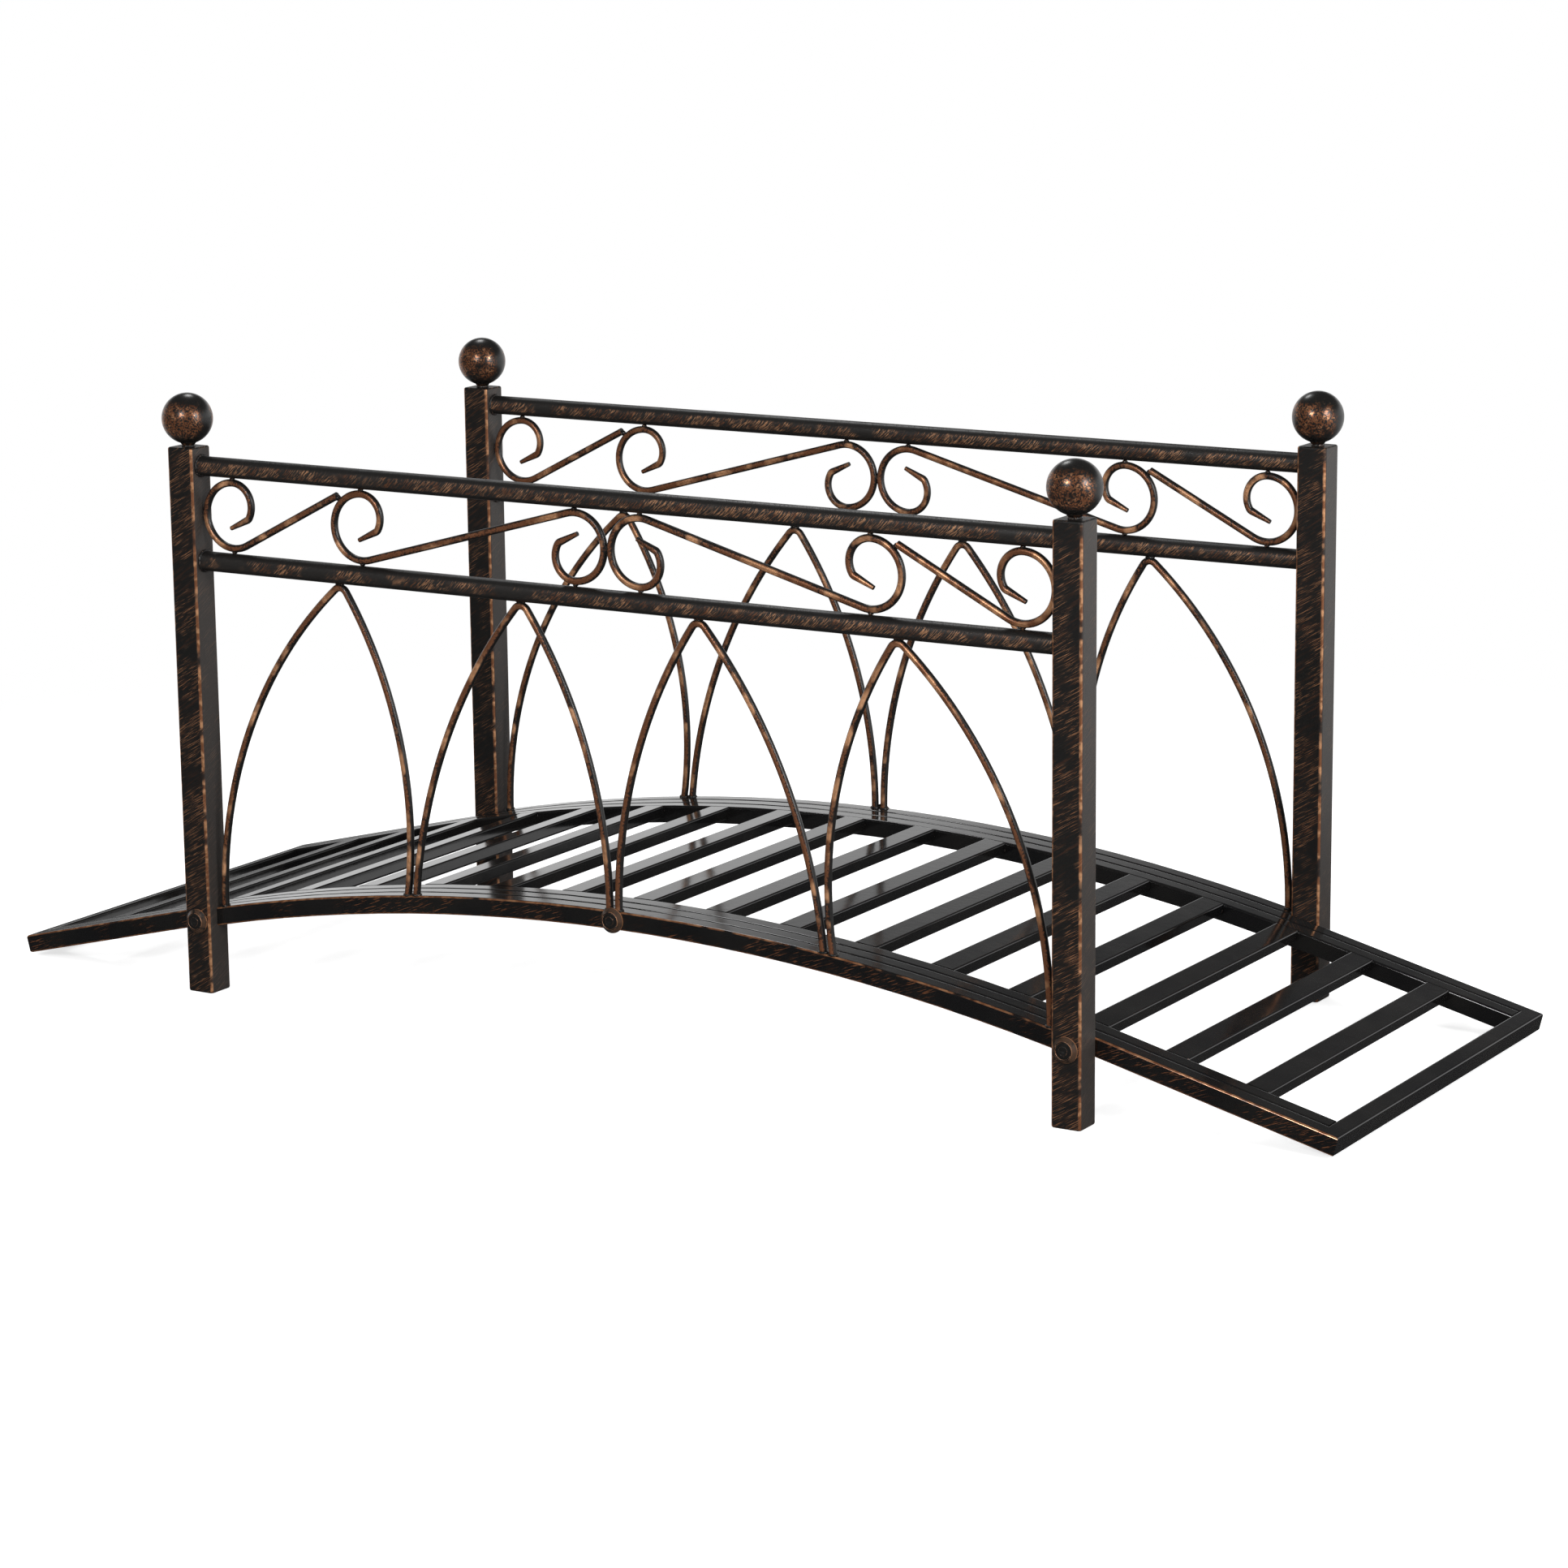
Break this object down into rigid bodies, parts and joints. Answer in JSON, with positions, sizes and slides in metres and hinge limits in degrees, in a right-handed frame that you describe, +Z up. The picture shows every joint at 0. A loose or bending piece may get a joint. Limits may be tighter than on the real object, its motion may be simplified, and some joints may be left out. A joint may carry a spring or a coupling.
{
  "type": "garden moon bridge",
  "caption": "Small arched metal garden bridge with slatted tube deck, corner posts with ball finials, and side railings of scrolls and pointed arches.",
  "frame": {"origin": "centre of the footprint, on the ground under the posts", "axes": "+X along the bridge, +Y across it, +Z up"},
  "size_m": [1.2102, 0.451, 0.4925],
  "materials": {
    "brushed_frame": "satin black powder coat, hand brushed with copper",
    "brushed_rod": "satin black powder coat, mostly brushed over with copper",
    "brushed_ball": "satin black powder coat, mottled with copper",
    "deck_black": "semi-gloss black powder coat",
    "bolt_black": "satin black cap"
  },
  "bodies": {
    "root": {"front_left_post": "brushed_frame", "front_left_ball": "brushed_ball", "front_left_end_scroll": "brushed_rod", "front_left_long_scroll": "brushed_rod", "front_left_outer_arch": "brushed_rod", "front_left_inner_arch": "brushed_rod", "front_right_post": "brushed_frame", "front_right_ball": "brushed_ball", "front_right_end_scroll": "brushed_rod", "front_right_long_scroll": "brushed_rod", "front_right_outer_arch": "brushed_rod", "front_right_inner_arch": "brushed_rod", "front_top_rail": "brushed_frame", "front_middle_rail": "brushed_frame", "front_lower_bar": "deck_black", "front_outer_deck_rail": "deck_black", "front_inner_deck_rail": "deck_black", "front_bolts": "bolt_black", "back_left_post": "brushed_frame", "back_left_ball": "brushed_ball", "back_left_end_scroll": "brushed_rod", "back_left_long_scroll": "brushed_rod", "back_left_outer_arch": "brushed_rod", "back_left_inner_arch": "brushed_rod", "back_right_post": "brushed_frame", "back_right_ball": "brushed_ball", "back_right_end_scroll": "brushed_rod", "back_right_long_scroll": "brushed_rod", "back_right_outer_arch": "brushed_rod", "back_right_inner_arch": "brushed_rod", "back_top_rail": "brushed_frame", "back_middle_rail": "brushed_frame", "back_lower_bar": "deck_black", "back_outer_deck_rail": "deck_black", "back_inner_deck_rail": "deck_black", "back_bolts": "bolt_black", "left_end_bar": "deck_black", "right_end_bar": "deck_black", "treads": "deck_black"}
  },
  "joints": []
}
